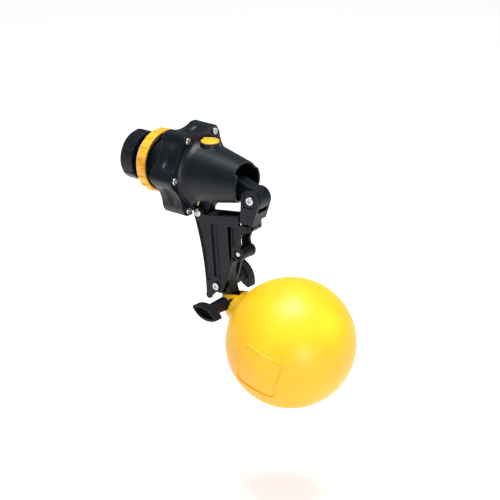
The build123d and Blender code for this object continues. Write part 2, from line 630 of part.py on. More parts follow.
def clamp_bolt():
    """Hex-socket bolt through the rocker and the arc slot."""
    near_y = -CHEEK_OUT_Y - 0.8
    bolt = rod_y(near_y, 22.0, CLAMP_BOLT_R, CLAMP_POINT)
    head = rod_y(near_y - 1.6, near_y, 4.2, CLAMP_POINT)
    head -= slab(Pos(*CLAMP_POINT) * RegularPolygon(2.4, 6), near_y - 2, near_y - 0.6)
    return bolt + head


def knob_head(half_long, half_wide):
    """Lens-shaped outline with blunt ends, its length along x."""
    r = (half_long ** 2 + half_wide ** 2) / (2 * half_wide)
    lens = Pos(0, r - half_wide) * Circle(r) & Pos(0, half_wide - r) * Circle(r)
    return lens & Rectangle(2 * half_long - 2.4, 4 * half_wide)


def thumb_knob(at, inner_y, face_y, tilt, bolt_end_y):
    """Lens-shaped thumb knob on a tapered hub, its outer face hollow."""
    side = 1 if face_y > inner_y else -1
    back_y = face_y - side * KNOB_T
    place = Pos(*at) * Rot(0, 0, tilt)
    head = slab(place * knob_head(KNOB_LONG / 2, KNOB_WIDE / 2), *sorted((back_y, face_y)))
    hollow = place * knob_head(KNOB_LONG / 2 - 3.4, KNOB_WIDE / 2 - 2.2)
    head -= slab(hollow, *sorted((face_y - side * 6.0, face_y + side)))
    plane = Plane(origin=(at[0], inner_y, at[1]), x_dir=(1, 0, 0), z_dir=(0, side, 0))
    hub = loft([plane * Circle(HUB_END_R), plane.offset(abs(back_y - inner_y) + 0.5) * Circle(7.4)])
    knob = head + hub
    return knob - rod_y(*sorted((inner_y - side, bolt_end_y + side * 0.5)), CLAMP_BOLT_R + RUNNING_GAP, at)


def clamp_washer():
    y0 = CHEEK_OUT_Y + 0.8
    return rod_y(y0, y0 + 1.2, 7.0, CLAMP_POINT) - rod_y(0, 30, CLAMP_BOLT_R + 0.02, CLAMP_POINT)


def clamp_knob():
    return thumb_knob(CLAMP_POINT, CHEEK_OUT_Y + 2.1, 46.6, -57.0, 22.0)


def float_bolt():
    """Hex-head bolt through the arm's eye and the float's lug."""
    head = slab(Pos(*FLOAT_POINT) * RegularPolygon(5.8, 6), FORK_OUT_Y, FORK_OUT_Y + 3.8)
    return head + rod_y(-26.0, FORK_OUT_Y + 1, CLAMP_BOLT_R, FLOAT_POINT)


def float_washer():
    washer = rod_y(-FORK_OUT_Y - 1.2, -FORK_OUT_Y, 7.6, FLOAT_POINT)
    return washer - rod_y(-30, 0, CLAMP_BOLT_R + 0.02, FLOAT_POINT)


def float_knob():
    return thumb_knob(FLOAT_POINT, -FORK_OUT_Y - 1.3, -50.0, -15.0, -26.0)


def float_ball():
    """Hollow blown float with a flared neck, forked over the arm's eye."""
    cx, cz = FLOAT_CENTRE
    ex, ez = FLOAT_POINT
    reach = hypot(ex - cx, ez - cz)
    axis = Plane(origin=(cx, 0, cz), x_dir=((ex - cx) / reach, 0, (ez - cz) / reach), z_dir=(0, -1, 0))
    neck = make_face(Curve() + [
        Line((60, 0), (60, 40)),
        Line((60, 40), (63.4, 40.0)),
        ThreePointArc((63.4, 40.0), (74.6, 25.0), (86.0, 16.6)),
        Line((86.0, 16.6), (97.0, 10.8)),
        ThreePointArc((97.0, 10.8), (100.4, 7.4), (101.6, 0)),
        Line((101.6, 0), (60, 0)),
    ])
    neck = revolve(axis * neck, Axis(axis.origin, axis.x_dir))
    for side in (-1, 1):
        y = sorted((side * FORK_OUT_Y, side * 40))
        neck -= axis * Pos(92.4, 0, -sum(y) / 2) * Box(21, 60, y[1] - y[0])
    ball = Pos(cx, 0, cz) * Sphere(FLOAT_R) + neck
    slot = Polygon((79.5, -40), (79.5, 40), (110, 40), (110, -40), align=None)
    ball -= extrude(axis * slot, amount=FORK_IN_Y, both=True)
    ball -= Pos(cx, 0, cz) * Sphere(FLOAT_R - FLOAT_WALL)
    return ball - rod_y(-20, 20, CLAMP_BOLT_R + RUNNING_GAP, FLOAT_POINT)


PARTS = [
    inlet_tail, backnut, tank_seal_washer, union_ring, tail_o_ring, inlet_strainer, inlet_housing,
    cover_gasket, piston_seal, main_piston, piston_o_ring, piston_spring, chamber_cover, pilot_seal,
    flange_screws, outlet_shroud, bleed_plug, plug_seal, bleed_pin, rocker_lever, rocker_pivot_pin,
    connecting_link, link_lower_pin, link_upper_screw, link_upper_nut, pilot_lever, pilot_pivot_pin,
    pilot_plunger, float_arm, arm_pivot_bolt, arm_pivot_nut, clamp_bolt, clamp_washer, clamp_knob,
    float_bolt, float_washer, float_knob, float_ball,
]

for make in PARTS:
    save(make.__name__, make())
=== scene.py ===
"""Finish and stage a ball-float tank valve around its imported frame.

Each sub-assembly is a class with its sizes as fields and methods that shape its pieces and dress them.
Lengths are metres. X runs from the inlet to the outlet and Z is up. The linkage lies in planes of
constant Y.
"""

from __future__ import annotations

import json
import logging
import math
from collections.abc import Callable, Iterator
from contextlib import contextmanager
from dataclasses import dataclass, field
from enum import Enum

import bpy
from mathutils import Matrix, Vector

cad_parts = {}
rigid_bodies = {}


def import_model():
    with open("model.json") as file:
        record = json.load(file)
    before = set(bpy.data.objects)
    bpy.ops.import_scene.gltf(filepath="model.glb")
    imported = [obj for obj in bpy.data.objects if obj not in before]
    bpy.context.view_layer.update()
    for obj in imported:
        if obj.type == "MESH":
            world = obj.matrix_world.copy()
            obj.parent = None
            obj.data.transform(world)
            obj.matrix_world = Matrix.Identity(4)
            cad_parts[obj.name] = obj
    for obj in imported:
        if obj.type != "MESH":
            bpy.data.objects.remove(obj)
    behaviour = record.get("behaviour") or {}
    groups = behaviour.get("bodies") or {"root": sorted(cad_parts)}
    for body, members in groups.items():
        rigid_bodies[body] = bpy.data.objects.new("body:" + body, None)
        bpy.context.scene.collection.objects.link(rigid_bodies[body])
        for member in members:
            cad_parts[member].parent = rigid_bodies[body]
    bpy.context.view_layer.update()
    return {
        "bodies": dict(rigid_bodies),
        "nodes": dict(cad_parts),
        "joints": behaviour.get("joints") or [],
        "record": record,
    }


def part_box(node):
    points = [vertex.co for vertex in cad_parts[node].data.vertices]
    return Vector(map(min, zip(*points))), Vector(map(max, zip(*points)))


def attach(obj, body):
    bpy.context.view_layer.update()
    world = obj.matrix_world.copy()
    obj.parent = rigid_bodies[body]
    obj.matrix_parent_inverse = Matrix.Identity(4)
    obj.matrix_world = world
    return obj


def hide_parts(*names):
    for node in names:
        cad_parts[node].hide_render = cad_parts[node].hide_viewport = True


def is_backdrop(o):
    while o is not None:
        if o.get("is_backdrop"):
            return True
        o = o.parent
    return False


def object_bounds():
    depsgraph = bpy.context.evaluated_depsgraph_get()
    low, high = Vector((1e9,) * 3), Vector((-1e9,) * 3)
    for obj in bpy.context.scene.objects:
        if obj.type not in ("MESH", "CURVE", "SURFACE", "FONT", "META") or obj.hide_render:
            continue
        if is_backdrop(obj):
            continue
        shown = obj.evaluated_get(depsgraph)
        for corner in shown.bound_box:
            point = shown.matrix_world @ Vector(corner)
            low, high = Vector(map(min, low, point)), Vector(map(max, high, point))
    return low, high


LOG = logging.getLogger("float_valve")
MM = 0.001
Colour = tuple[float, float, float]


# ------------------------------------------------------------------ working with operators
def select_only(*pieces: bpy.types.Object) -> None:
    """Select the given objects and nothing else, with the first one active.

    Args:
        pieces: The objects to select.
    """
    if bpy.context.object and bpy.context.object.mode != "OBJECT":
        bpy.ops.object.mode_set(mode="OBJECT")
    bpy.ops.object.select_all(action="DESELECT")
    for piece in pieces:
        piece.select_set(True)
    bpy.context.view_layer.objects.active = pieces[0]


@contextmanager
def editing(piece: bpy.types.Object, kind: str = "FACE") -> Iterator[None]:
    """Hold a piece in edit mode with nothing selected.

    Args:
        piece: The mesh object to edit.
        kind: The kind of element to select, VERT, EDGE or FACE.

    Returns:
        A context that goes back to object mode when it ends.
    """
    select_only(piece)
    bpy.ops.object.mode_set(mode="EDIT")
    bpy.ops.mesh.select_mode(type=kind)
    bpy.ops.mesh.select_all(action="DESELECT")
    yield
    bpy.ops.object.mode_set(mode="OBJECT")


def choose(piece: bpy.types.Object, kind: str, test: Callable[[object], bool]) -> None:
    """Select the elements that pass a test, from within edit mode.

    Args:
        piece: The mesh object in edit mode.
        kind: VERT, EDGE or FACE.
        test: Takes a vertex or face, or for EDGE the run from one end to the other, and says
            whether to select it.
    """
    bpy.ops.mesh.select_mode(type=kind)
    bpy.ops.mesh.select_all(action="DESELECT")
    bpy.ops.object.mode_set(mode="OBJECT")
    mesh = piece.data
    if kind == "FACE":
        for face in mesh.polygons:
            face.select = bool(test(face))
    elif kind == "VERT":
        for vertex in mesh.vertices:
            vertex.select = bool(test(vertex))
    else:
        for edge in mesh.edges:
            a, b = (mesh.vertices[i].co for i in edge.vertices)
            edge.select = bool(test(b - a))
    bpy.ops.object.mode_set(mode="EDIT")


def settle(piece: bpy.types.Object, name: str) -> bpy.types.Object:
    """Name a new primitive and put its place into its mesh.

    Args:
        piece: The object that was just added.
        name: The piece's name.

    Returns:
        The same object, at the origin, unturned and unscaled.
    """
    piece.name = name
    piece.data.name = name
    select_only(piece)
    bpy.ops.object.transform_apply(location=True, rotation=True, scale=True)
    return piece


def apply_modifier(piece: bpy.types.Object, kind: str, **settings: object) -> None:
    """Add a modifier, set it and apply it.

    Args:
        piece: The object to change.
        kind: The modifier's type.
        settings: The modifier's properties by name.
    """
    select_only(piece)
    modifier = piece.modifiers.new(kind.title(), kind)
    for key, value in settings.items():
        setattr(modifier, key, value)
    bpy.ops.object.modifier_apply(modifier=modifier.name)


def smooth(piece: bpy.types.Object, degrees: float = 32.0) -> bpy.types.Object:
    """Shade a piece smooth except across edges sharper than an angle.

    Args:
        piece: The object to shade.
        degrees: The sharpest angle that still shades smooth.

    Returns:
        The same object.
    """
    select_only(piece)
    bpy.ops.object.shade_smooth_by_angle(angle=math.radians(degrees))
    return piece


def round_edges(piece: bpy.types.Object, width: float, segments: int = 2, degrees: float = 34.0) -> None:
    """Round a piece's sharp edges.

    Args:
        piece: The object to change.
        width: How far the rounding reaches from each edge.
        segments: The number of strips in the rounding.
        degrees: The least angle of an edge that is rounded.
    """
    apply_modifier(
        piece, "BEVEL", width=width, segments=segments, limit_method="ANGLE",
        angle_limit=math.radians(degrees), use_clamp_overlap=False, miter_outer="MITER_ARC",
    )


def cut_away(piece: bpy.types.Object, cutter: bpy.types.Object, how: str = "DIFFERENCE") -> None:
    """Combine a piece with a cutter and remove the cutter.

    Args:
        piece: The object to change.
        cutter: The object that cuts, joins or trims it.
        how: DIFFERENCE, UNION or INTERSECT.
    """
    apply_modifier(piece, "BOOLEAN", operation=how, object=cutter, solver="EXACT")
    bpy.data.objects.remove(cutter)


def turn_to(direction: Vector) -> tuple[float, float, float]:
    """The Euler turn that takes +Z to a direction.

    Args:
        direction: Where +Z should point.

    Returns:
        The turn, in radians.
    """
    return tuple(direction.to_track_quat("Z", "Y").to_euler())


def add_cylinder(
    name: str, centre: Vector, axis: Vector, radius: float, length: float, sides: int = 64
) -> bpy.types.Object:
    """Add a cylinder to be shaped further.

    Args:
        name: The piece's name.
        centre: The middle of the cylinder.
        axis: The way it points.
        radius: Its radius.
        length: Its length along the axis.
        sides: The number of sides.

    Returns:
        The new object.
    """
    bpy.ops.mesh.primitive_cylinder_add(
        vertices=sides, radius=radius, depth=length, location=centre, rotation=turn_to(axis)
    )
    return settle(bpy.context.object, name)


def add_block(name: str, centre: Vector, size: Vector, turn: Matrix | None = None) -> bpy.types.Object:
    """Add a block to be shaped further.

    Args:
        name: The piece's name.
        centre: The middle of the block.
        size: Its three sides.
        turn: How it is turned, if it is.

    Returns:
        The new object.
    """
    rotation = turn.to_euler() if turn else (0.0, 0.0, 0.0)
    bpy.ops.mesh.primitive_cube_add(size=1.0, location=centre, rotation=rotation)
    bpy.context.object.scale = size
    return settle(bpy.context.object, name)


# ------------------------------------------------------------------ shader expressions
class Value:
    """A number socket that can be used in Python expressions."""

    def __init__(self, paint: Paint, socket: bpy.types.NodeSocket) -> None:
        """Wrap a socket of one paint's node tree."""
        self.paint = paint
        self.socket = socket

    def _math(self, operation: str, *terms: Value | float) -> Value:
        """Add a Math node over the given terms."""
        sockets = {i: term for i, term in enumerate(terms)}
        return self.paint.add("ShaderNodeMath", {"operation": operation}, sockets).out()

    def __add__(self, other: Value | float) -> Value:
        """Sum."""
        return self._math("ADD", self, other)

    def __radd__(self, other: float) -> Value:
        """Sum, with the number first."""
        return self._math("ADD", other, self)

    def __sub__(self, other: Value | float) -> Value:
        """Difference."""
        return self._math("SUBTRACT", self, other)

    def __rsub__(self, other: float) -> Value:
        """Difference, with the number first."""
        return self._math("SUBTRACT", other, self)

    def __mul__(self, other: Value | float) -> Value:
        """Product."""
        return self._math("MULTIPLY", self, other)

    def __rmul__(self, other: float) -> Value:
        """Product, with the number first."""
        return self._math("MULTIPLY", other, self)

    def between(self, low: float, high: float) -> Value:
        """Spread the stretch from low to high over 0 to 1, with soft ends.

        Args:
            low: The value that becomes 0.
            high: The value that becomes 1.

        Returns:
            The spread value.
        """
        node = self.paint.add(
            "ShaderNodeMapRange", {"interpolation_type": "SMOOTHSTEP"},
            {"Value": self, "From Min": low, "From Max": high},
        )
        return node.out()


class Node:
    """A shader node, with its outputs as values."""

    def __init__(self, paint: Paint, node: bpy.types.Node) -> None:
        """Wrap a node of one paint's tree."""
        self.paint = paint
        self.node = node

    def out(self, name: str | int = 0) -> Value:
        """The output with this name or place."""
        return Value(self.paint, self.node.outputs[name])


class Paint:
    """One material and the nodes that feed its shader."""

    MIX_AMOUNT, MIX_LOW, MIX_HIGH = 0, 6, 7
    MIX_RESULT = 2

    def __init__(self, name: str) -> None:
        """Start a material with an empty Principled shader.

        Args:
            name: The material's name.
        """
        self.material = bpy.data.materials.new(name)
        self.material.use_nodes = True
        self.tree = self.material.node_tree
        self.tree.nodes.clear()
        output = self.add("ShaderNodeOutputMaterial").node
        self.shader = self.add("ShaderNodeBsdfPrincipled").node
        self.tree.links.new(self.shader.outputs[0], output.inputs[0])
        self.place = self.add("ShaderNodeTexCoord").out("Object")

    def add(
        self,
        kind: str,
        settings: dict[str, object] | None = None,
        sockets: dict[str | int, object] | None = None,
    ) -> Node:
        """Add a node, set it, then fill its sockets.

        Args:
            kind: The node's type.
            settings: Its properties, such as a Math node's operation.
            sockets: Values or links for its inputs, by name or place.

        Returns:
            The new node.
        """
        node = self.tree.nodes.new(kind)
        for key, value in (settings or {}).items():
            setattr(node, key, value)
        for key, value in (sockets or {}).items():
            self.feed(node.inputs[key], value)
        return Node(self, node)

    def feed(self, socket: bpy.types.NodeSocket, value: object) -> None:
        """Link or set one input.

        Args:
            socket: The input.
            value: A Value to link, or a number, colour or vector to set.
        """
        if isinstance(value, Value):
            self.tree.links.new(value.socket, socket)
        elif isinstance(value, tuple) and socket.type == "RGBA":
            socket.default_value = (*value, 1.0)
        else:
            socket.default_value = value

    def noise(self, size: float, detail: float = 3.0, stretch: Colour = (1.0, 1.0, 1.0)) -> Value:
        """Noise with lumps of about one size.

        Args:
            size: The size of a lump.
            detail: How many finer octaves it has.
            stretch: How much denser it is along each axis.

        Returns:
            The noise, from 0 to 1.
        """
        place = self.place
        if stretch != (1.0, 1.0, 1.0):
            place = self.add("ShaderNodeMapping", {}, {"Vector": self.place, "Scale": stretch}).out()
        sockets = {"Vector": place, "Scale": 1.0 / size, "Detail": detail}
        return self.add("ShaderNodeTexNoise", {}, sockets).out()

    def cells(self, size: float) -> Value:
        """Distance to the nearest of scattered points, about one size apart."""
        return self.add("ShaderNodeTexVoronoi", {}, {"Vector": self.place, "Scale": 1.0 / size}).out()

    def blend(self, amount: Value | float, low: Colour | Value, high: Colour | Value) -> Value:
        """Mix two colours.

        Args:
            amount: 0 for the first colour, 1 for the second.
            low: The first colour.
            high: The second colour.

        Returns:
            The mixed colour.
        """
        sockets = {self.MIX_AMOUNT: amount, self.MIX_LOW: low, self.MIX_HIGH: high}
        return self.add("ShaderNodeMix", {"data_type": "RGBA"}, sockets).out(self.MIX_RESULT)

    def bump(self, height: Value, depth: float, strength: float = 1.0) -> Value:
        """Turn a height into a normal.

        Args:
            height: The height, from 0 to 1.
            depth: The real height that 1 stands for.
            strength: How much of it shows.

        Returns:
            The normal.
        """
        sockets = {"Height": height, "Distance": depth, "Strength": strength}
        return self.add("ShaderNodeBump", {}, sockets).out()

    def set(self, **sockets: object) -> bpy.types.Material:
        """Fill the shader's inputs; a name's underscores are its spaces.

        Args:
            sockets: Values or links by input name.

        Returns:
            The finished material.
        """
        for key, value in sockets.items():
            self.feed(self.shader.inputs[key.replace("_", " ")], value)
        return self.material


# ------------------------------------------------------------------ finishes
@dataclass(frozen=True)
class BlackNylon:
    """Semi-matte moulded nylon with a fine grain, faint flow marks and handling scuffs."""

    name: str = "black_nylon"
    base: Colour = (0.002, 0.0036, 0.0066)
    scuffed: Colour = (0.008, 0.0125, 0.019)
    roughness: float = 0.34
    grain: float = 0.9 * MM

    def material(self) -> bpy.types.Material:
        """Make the material.

        Returns:
            The material.
        """
        paint = Paint(self.name)
        flow = paint.noise(26 * MM, 4.0)
        scuff = paint.noise(5 * MM, 6.0, (1.0, 1.0, 2.4)).between(0.56, 0.78)
        grain = paint.noise(self.grain, 2.0)
        colour = paint.blend(flow * 0.5 + scuff * 0.4, self.base, self.scuffed)
        return paint.set(
            Base_Color=colour, Roughness=self.roughness + flow * 0.12 + scuff * 0.1,
            Normal=paint.bump(grain + flow * 0.8, 0.05 * MM), Specular_IOR_Level=0.24,
        )


@dataclass(frozen=True)
class GoldenPlastic:
    """Glossy yellow moulding, a little deeper in colour where it is thick."""

    name: str = "golden_plastic"
    base: Colour = (0.93, 0.47, 0.022)
    deep: Colour = (0.88, 0.35, 0.012)
    roughness: float = 0.3

    def material(self) -> bpy.types.Material:
        """Make the material.

        Returns:
            The material.
        """
        paint = Paint(self.name)
        cloud = paint.noise(14 * MM, 3.0)
        peel = paint.noise(1.6 * MM, 2.0)
        return paint.set(
            Base_Color=paint.blend(cloud.between(0.45, 0.75), self.base, self.deep),
            Roughness=self.roughness + cloud * 0.15, Normal=paint.bump(peel, 0.05 * MM),
        )


@dataclass(frozen=True)
class FloatPolythene:
    """Blow-moulded polythene, slightly waxy, with soft mould ripples.

    Its colour is deeper low down: partly the moulding's own tone, partly painted shade on the underside.
    """

    name: str = "float_polythene"
    base: Colour = (0.95, 0.54, 0.014)
    thin: Colour = (0.97, 0.62, 0.02)
    # The deep colour low on the float is partly its own tone and partly painted shade.
    deep_shaded: Colour = (0.93, 0.36, 0.004)
    speck: Colour = (0.7, 0.38, 0.03)
    # The heights between which the painted shade fades from full to none.
    shaded_below: float = -0.235
    unshaded_above: float = -0.125
    roughness: float = 0.34

    def material(self) -> bpy.types.Material:
        """Make the material.

        Returns:
            The material.
        """
        paint = Paint(self.name)
        wall = paint.noise(48 * MM, 3.0)
        ripple = paint.noise(11 * MM, 2.0)
        peel = paint.noise(1.3 * MM, 2.0)
        specks = paint.cells(7 * MM).between(0.06, 0.02) * paint.noise(16 * MM, 1.0).between(0.55, 0.65)
        height = paint.add("ShaderNodeSeparateXYZ", {}, {"Vector": paint.place}).out("Z")
        # Painted shade, in part: the colour deepens towards the bottom of the float by height.
        shade_height = height + (wall - 0.5) * 0.03
        upper = paint.blend(wall.between(0.35, 0.7), self.base, self.thin)
        colour = paint.blend(shade_height.between(self.shaded_below, self.unshaded_above), self.deep_shaded, upper)
        return paint.set(
            Base_Color=paint.blend(specks * 0.25, colour, self.speck),
            Roughness=self.roughness + ripple * 0.12,
            Normal=paint.bump(ripple * 0.5 + peel * 0.12, 0.22 * MM),
            Subsurface_Weight=0.06, Subsurface_Radius=(6 * MM, 3 * MM, 1 * MM), Specular_IOR_Level=0.36,
        )


@dataclass(frozen=True)
class PaleWasher:
    """Off-white sealing rubber with a chalky bloom."""

    name: str = "pale_washer"
    base: Colour = (0.62, 0.6, 0.68)
    bloom: Colour = (0.8, 0.79, 0.84)

    def material(self) -> bpy.types.Material:
        """Make the material.

        Returns:
            The material.
        """
        paint = Paint(self.name)
        cloud = paint.noise(5 * MM, 4.0)
        return paint.set(
            Base_Color=paint.blend(cloud, self.base, self.bloom), Roughness=cloud * 0.15 + 0.5,
            Normal=paint.bump(paint.noise(0.8 * MM, 2.0), 0.05 * MM),
        )


@dataclass(frozen=True)
class BlackRubber:
    """Matte black seal rubber."""

    name: str = "black_rubber"
    base: Colour = (0.012, 0.012, 0.012)
    bloom: Colour = (0.035, 0.035, 0.036)

    def material(self) -> bpy.types.Material:
        """Make the material.

        Returns:
            The material.
        """
        paint = Paint(self.name)
        cloud = paint.noise(4 * MM, 4.0)
        return paint.set(
            Base_Color=paint.blend(cloud, self.base, self.bloom), Roughness=cloud * 0.15 + 0.62,
            Normal=paint.bump(paint.noise(0.5 * MM, 2.0), 0.04 * MM),
        )


@dataclass(frozen=True)
class BrightMetal:
    """Plain metal with fine drawn lines and small tarnished spots."""

    name: str
    base: Colour
    tarnish: Colour
    roughness: float = 0.24
    lines: Colour = (1.0, 0.06, 1.0)

    def material(self) -> bpy.types.Material:
        """Make the material.

        Returns:
            The material.
        """
        paint = Paint(self.name)
        drawn = paint.noise(0.5 * MM, 3.0, self.lines)
        spots = paint.noise(2.4 * MM, 4.0).between(0.58, 0.74)
        return paint.set(
            Base_Color=paint.blend(spots * 0.6, self.base, self.tarnish), Metallic=1.0,
            Roughness=self.roughness + drawn * 0.14 + spots * 0.12, Normal=paint.bump(drawn, 0.02 * MM),
        )


@dataclass(frozen=True)
class StrainerMesh:
    """Pale grey moulded mesh."""

    name: str = "strainer_mesh"
    base: Colour = (0.36, 0.37, 0.39)
    worn: Colour = (0.5, 0.5, 0.5)

    def material(self) -> bpy.types.Material:
        """Make the material.

        Returns:
            The material.
        """
        paint = Paint(self.name)
        weave = paint.cells(1.2 * MM)
        cloud = paint.noise(6 * MM, 3.0)
        return paint.set(
            Base_Color=paint.blend(cloud, self.base, self.worn), Roughness=cloud * 0.1 + 0.45,
            Normal=paint.bump(weave, 0.2 * MM),
        )


class Finish(Enum):
    """The finishes that a piece can have."""

    NYLON = BlackNylon()
    KNOB_NYLON = BlackNylon("knob_nylon", (0.0025, 0.0035, 0.0055), (0.01, 0.0125, 0.016), 0.42, 0.7 * MM)
    GOLDEN = GoldenPlastic()
    FLOAT = FloatPolythene()
    WASHER = PaleWasher()
    RUBBER = BlackRubber()
    STAINLESS = BrightMetal("stainless", (0.56, 0.57, 0.59), (0.34, 0.34, 0.33))
    DARK_STEEL = BrightMetal("dark_steel", (0.03, 0.03, 0.033), (0.1, 0.07, 0.05), 0.4)
    BRASS = BrightMetal("brass", (0.8, 0.56, 0.24), (0.4, 0.22, 0.1), 0.3)
    MESH = StrainerMesh()


class Wardrobe:
    """The materials, each made once."""

    def __init__(self) -> None:
        """Start with nothing made."""
        self._made: dict[Finish, bpy.types.Material] = {}

    def dress(self, piece: bpy.types.Object, finish: Finish) -> bpy.types.Object:
        """Give a piece one finish all over.

        Args:
            piece: The object to dress.
            finish: Its finish.

        Returns:
            The same object.
        """
        if finish not in self._made:
            self._made[finish] = finish.value.material()
        if len(piece.data.materials) == 0:
            piece.data.materials.append(self._made[finish])
        for i in range(len(piece.data.materials)):
            piece.data.materials[i] = self._made[finish]
        return piece


# ------------------------------------------------------------------ the workshop
class Workshop:
    """What every sub-assembly needs: the frame, the finishes and the way a piece joins the object."""

    def __init__(self, frame: dict) -> None:
        """Keep the frame and find each node's body and slot.
        """
        self.nodes: dict[str, bpy.types.Object] = frame["nodes"]
        record = frame["record"]
        self.body_of = {n: b for b, members in record["behaviour"]["bodies"].items() for n in members}
        self.slot_of = {row["node"]: row["material_slot"] for row in record["subparts"]}
        self.wardrobe = Wardrobe()

    def middle(self, node: str) -> Vector:
        """The middle of a node's box."""
        low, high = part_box(node)
        return (low + high) / 2

    def join(self, piece: bpy.types.Object, body: str, slot: str, finish: Finish) -> bpy.types.Object:
        """Dress a new piece and make it part of the object.

        Args:
            piece: The new object.
            body: The body it moves with.
            slot: The material slot; not used.
            finish: Its finish.

        Returns:
            The same object.
        """
        self.wardrobe.dress(piece, finish)
        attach(piece, body)
        LOG.info("piece %s on %s: %d faces", piece.name, body, len(piece.data.polygons))
        return piece

    def stand_in(self, piece: bpy.types.Object, node: str, finish: Finish) -> bpy.types.Object:
        """Let a new piece stand for a node of the frame.

        Args:
            piece: The new object.
            node: The node that it replaces.
            finish: Its finish.

        Returns:
            The same object.
        """
        self.join(piece, self.body_of[node], self.slot_of[node], finish)
        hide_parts(node)
        return piece

    def keep(self, finish: Finish, *names: str) -> None:
        """Keep nodes as they are, with a better finish.

        Args:
            finish: Their finish.
            names: The nodes.
        """
        for name in names:
            self.wardrobe.dress(self.nodes[name], finish)
            LOG.info("node %s kept, %s", name, finish.name.lower())

    def softened(self, node: str, width: float, finish: Finish, degrees: float = 34.0) -> bpy.types.Object:
        """Copy a node's shape, round its sharp edges and let the copy stand for it.

        Args:
            node: The node to copy.
            width: The width of the rounding.
            finish: The piece's finish.
            degrees: The least angle of an edge that is rounded.

        Returns:
            The new piece.
        """
        select_only(self.nodes[node])
        piece = self.nodes[node].copy()
        piece.data = self.nodes[node].data.copy()
        bpy.context.collection.objects.link(piece)
        piece.name = f"{node}_shape"
        piece.parent = None
        piece.matrix_world = Matrix.Identity(4)
        with editing(piece):
            bpy.ops.mesh.select_all(action="SELECT")
            bpy.ops.mesh.remove_doubles(threshold=0.004 * MM)
            bpy.ops.mesh.dissolve_limited(angle_limit=math.radians(0.6))
        round_edges(piece, width, 2, degrees)
        smooth(piece, 30.0)
        apply_modifier(piece, "WEIGHTED_NORMAL", keep_sharp=True, weight=60)
        return self.stand_in(piece, node, finish)


# ------------------------------------------------------------------ sub-assemblies
@dataclass
class InletSide:
    """Threaded tail, backnut, sealing washer and the yellow union ring."""

    shop: Workshop
    nut_round: float = 0.5 * MM
    ring_round: float = 0.45 * MM

    def build(self) -> None:
        """Shape and dress the inlet pieces."""
        self.shop.softened("backnut", self.nut_round, Finish.NYLON)
        self.shop.softened("union_ring", self.ring_round, Finish.GOLDEN)
        self.shop.softened("tank_seal_washer", 0.4 * MM, Finish.WASHER)
        self.shop.softened("inlet_tail", 0.15 * MM, Finish.NYLON)
        self.shop.keep(Finish.RUBBER, "tail_o_ring")
        self.shop.keep(Finish.MESH, "inlet_strainer")


@dataclass
class ValveBody:
    """The six-screw body: both halves, the plug on top and what is inside."""

    shop: Workshop
    casting_round: float = 0.7 * MM
    screw_round: float = 0.15 * MM
    plug_stem_r: float = 7.6 * MM
    plug_turn: float = 20.0
    plug_head: float = 5.0 * MM
    plug_rim: float = 1.8 * MM
    dome_steps: tuple[tuple[float, float], ...] = ((0.6, 0.55), (1.3, 0.35), (2.0, 0.3), (2.4, 0.2))
    ridge_share: float = 0.86
    ridge_width: float = 3.4 * MM
    ridge_taper: float = 0.78
    overlap: float = 0.4 * MM
    seals: tuple[str, ...] = ("plug_seal", "cover_gasket", "piston_seal", "piston_o_ring", "pilot_seal")

    def build(self) -> None:
        """Shape and dress the body."""
        self.shop.softened("inlet_housing", self.casting_round, Finish.NYLON)
        self.shop.softened("outlet_shroud", 0.5 * MM, Finish.NYLON)
        self._plug()
        self.shop.softened("flange_screws", self.screw_round, Finish.STAINLESS)
        self.shop.keep(Finish.RUBBER, *self.seals)
        self.shop.keep(Finish.NYLON, "main_piston", "chamber_cover", "pilot_plunger")
        self.shop.keep(Finish.STAINLESS, "piston_spring", "pilot_pivot_pin")
        self.shop.keep(Finish.BRASS, "bleed_pin")

    def _plug(self) -> None:
        """The bleed plug: a domed head with a raised rim and a ridge to grip, on its stem."""
        low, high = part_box("bleed_plug")
        centre = (low + high) / 2
        radius = (high.x - low.x) / 2
        seat_z = high.z - self.plug_head
        up = Vector((0, 0, 1))
        rim_middle = Vector((centre.x, centre.y, seat_z + self.plug_rim / 2))
        head = add_cylinder("head", rim_middle, up, radius, self.plug_rim, 96)
        with editing(head):
            choose(head, "FACE", lambda f: f.normal.z > 0.9)
            for shrink, rise in self.dome_steps:
                bpy.ops.mesh.inset(thickness=shrink * MM)
                bpy.ops.transform.translate(value=(0, 0, rise * MM))
        turn = Matrix.Rotation(math.radians(self.plug_turn), 3, "Z")
        middle = Vector((centre.x, centre.y, high.z - self.ridge_width / 2))
        size = Vector((self.ridge_share * 2 * radius, self.ridge_width, self.ridge_width))
        ridge = add_block("ridge", middle, size, turn)
        with editing(ridge):
            choose(ridge, "FACE", lambda f: f.normal.z > 0.9)
            narrow = (self.ridge_taper, self.ridge_taper, 1.0)
            bpy.ops.transform.resize(value=narrow, center_override=middle)
        cut_away(head, ridge, "UNION")
        stem_middle = Vector((centre.x, centre.y, (low.z + seat_z) / 2))
        stem = add_cylinder("stem", stem_middle, up, self.plug_stem_r, seat_z - low.z + self.overlap, 64)
        cut_away(head, stem, "UNION")
        round_edges(head, 0.35 * MM, 2, 28.0)
        head.name = "bleed_plug_shape"
        smooth(head, 30.0)
        self.shop.stand_in(head, "bleed_plug", Finish.GOLDEN)


@dataclass
class Linkage:
    """Rocker, link and pilot lever, with their pins."""

    shop: Workshop
    lever_round: float = 0.4 * MM
    screw_round: float = 0.15 * MM
    levers: tuple[str, ...] = ("rocker_lever", "connecting_link", "pilot_lever", "float_arm")
    screws: tuple[str, ...] = (
        "rocker_pivot_pin", "link_upper_screw", "link_upper_nut", "arm_pivot_bolt", "arm_pivot_nut",
        "clamp_bolt", "clamp_washer", "float_bolt", "float_washer",
    )

    def build(self) -> None:
        """Shape and dress the linkage."""
        for node in self.levers:
            self.shop.softened(node, self.lever_round, Finish.NYLON)
        for node in self.screws:
            self.shop.softened(node, self.screw_round, Finish.STAINLESS)
        self.shop.keep(Finish.DARK_STEEL, "link_lower_pin")


